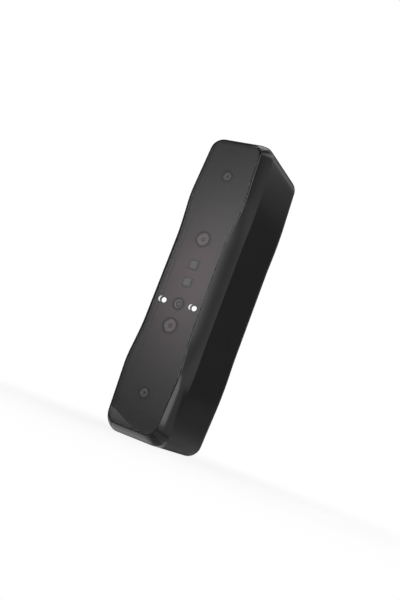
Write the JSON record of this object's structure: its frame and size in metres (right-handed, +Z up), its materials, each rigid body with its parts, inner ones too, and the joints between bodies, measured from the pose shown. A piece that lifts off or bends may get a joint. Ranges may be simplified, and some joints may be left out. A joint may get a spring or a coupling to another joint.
{
  "type": "handheld three-d scanner",
  "caption": "Slim handheld three-d scanner with a waisted dark window over stereo cameras, emitters and lamps, push keys on the back, and a tripod thread and data socket in the lower end.",
  "frame": {"origin": "centre of the object's box on the plane it stands on, at its lower end", "axes": "+Z up along the length, +X across the width to the right as seen from the front, -Y out of the glass"},
  "size_m": [0.0412, 0.054, 0.172],
  "materials": {
    "housing_plastic": "satin black moulding",
    "window_glass": "dark tinted, polished",
    "adhesive": "matt black",
    "foam": "matt black foam",
    "bench_aluminium": "black anodised",
    "holder_plastic": "matt black",
    "barrel_metal": "dark anodised, fine turned",
    "lens_glass": "coated, polished",
    "package_plastic": "matt black",
    "emitter_glass": "frosted",
    "circuit_board": "solder mask",
    "lamp_white": "white diffuser",
    "screw_steel": "black oxide",
    "socket_steel": "plain",
    "brass": "turned",
    "ribbon_film": "amber film",
    "key_plastic": "fine texture",
    "clear_pipe": "clear"
  },
  "bodies": {
    "scanner_body": {"main_housing": "housing_plastic", "rear_cover": "housing_plastic", "rear_cover_screws": "screw_steel", "front_window": "window_glass", "window_adhesive": "adhesive", "light_seals": "foam", "optical_frame": "bench_aluminium", "optical_frame_screws": "screw_steel", "upper_projector": "package_plastic", "lower_projector": "package_plastic", "upper_projector_window": "emitter_glass", "lower_projector_window": "emitter_glass", "projector_board": "circuit_board", "heat_spreader": "bench_aluminium", "led_board": "circuit_board", "left_fill_led": "lamp_white", "right_fill_led": "lamp_white", "board_standoffs": "brass", "mainboard": "circuit_board", "mainboard_screws": "screw_steel", "processor": "package_plastic", "heat_sink": "bench_aluminium", "mainboard_connectors": "package_plastic", "camera_ribbons": "ribbon_film", "button_ribbon": "ribbon_film", "button_board": "circuit_board", "button_board_screws": "screw_steel", "switch_bodies": "package_plastic", "status_led": "lamp_white", "status_light_pipe": "clear_pipe", "data_socket_shell": "socket_steel", "data_socket_tongue": "package_plastic", "tripod_insert": "brass", "upper_far_camera_holder": "holder_plastic", "upper_far_lens_barrel": "barrel_metal", "upper_far_front_lens": "lens_glass", "upper_far_sensor_board": "circuit_board", "upper_near_camera_holder": "holder_plastic", "upper_near_lens_barrel": "barrel_metal", "upper_near_front_lens": "lens_glass", "upper_near_sensor_board": "circuit_board", "colour_camera_holder": "holder_plastic", "colour_lens_barrel": "barrel_metal", "colour_front_lens": "lens_glass", "colour_sensor_board": "circuit_board", "lower_near_camera_holder": "holder_plastic", "lower_near_lens_barrel": "barrel_metal", "lower_near_front_lens": "lens_glass", "lower_near_sensor_board": "circuit_board", "lower_far_camera_holder": "holder_plastic", "lower_far_lens_barrel": "barrel_metal", "lower_far_front_lens": "lens_glass", "lower_far_sensor_board": "circuit_board"},
    "scan_button": {"scan_button": "key_plastic", "scan_switch_plunger": "key_plastic"},
    "plus_key": {"plus_key": "key_plastic", "plus_switch_plunger": "key_plastic"},
    "minus_key": {"minus_key": "key_plastic", "minus_switch_plunger": "key_plastic"}
  },
  "joints": [
    {"name": "scan_button_press", "type": "slide", "parent": "scanner_body", "child": "scan_button", "axis": [0, -1, 0], "range_m": [0, 0.0005], "stiffness_N_per_m": 400},
    {"name": "plus_key_press", "type": "slide", "parent": "scanner_body", "child": "plus_key", "axis": [0, -1, 0], "range_m": [0, 0.0005], "stiffness_N_per_m": 400},
    {"name": "minus_key_press", "type": "slide", "parent": "scanner_body", "child": "minus_key", "axis": [0, -1, 0], "range_m": [0, 0.0005], "stiffness_N_per_m": 400}
  ]
}
